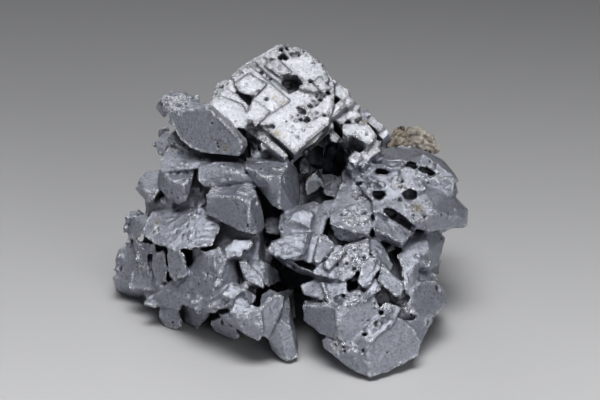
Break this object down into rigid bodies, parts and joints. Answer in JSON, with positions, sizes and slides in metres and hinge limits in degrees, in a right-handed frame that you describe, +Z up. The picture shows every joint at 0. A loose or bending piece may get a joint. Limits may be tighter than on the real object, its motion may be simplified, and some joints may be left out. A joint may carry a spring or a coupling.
{
  "type": "galena mineral specimen",
  "caption": "Hand-sized cluster of intergrown lead-grey galena crystals, with etched blocks, ribs and plates and a crust of brown siderite on one shoulder.",
  "frame": {"origin": "on the surface it stands on, under the middle of its width and depth", "axes": "+X to the right along its longest side, -Y towards the viewer of its display face, +Z up"},
  "size_m": [0.0998, 0.0874, 0.0685],
  "materials": {
    "galena": "satin metallic lead-grey, finely pitted, brighter on edges and fresh cleavage",
    "siderite": "dull granular, brown to grey-cream"
  },
  "bodies": {
    "root": {"galena_cluster": "galena", "siderite_crust": "siderite"}
  },
  "joints": []
}
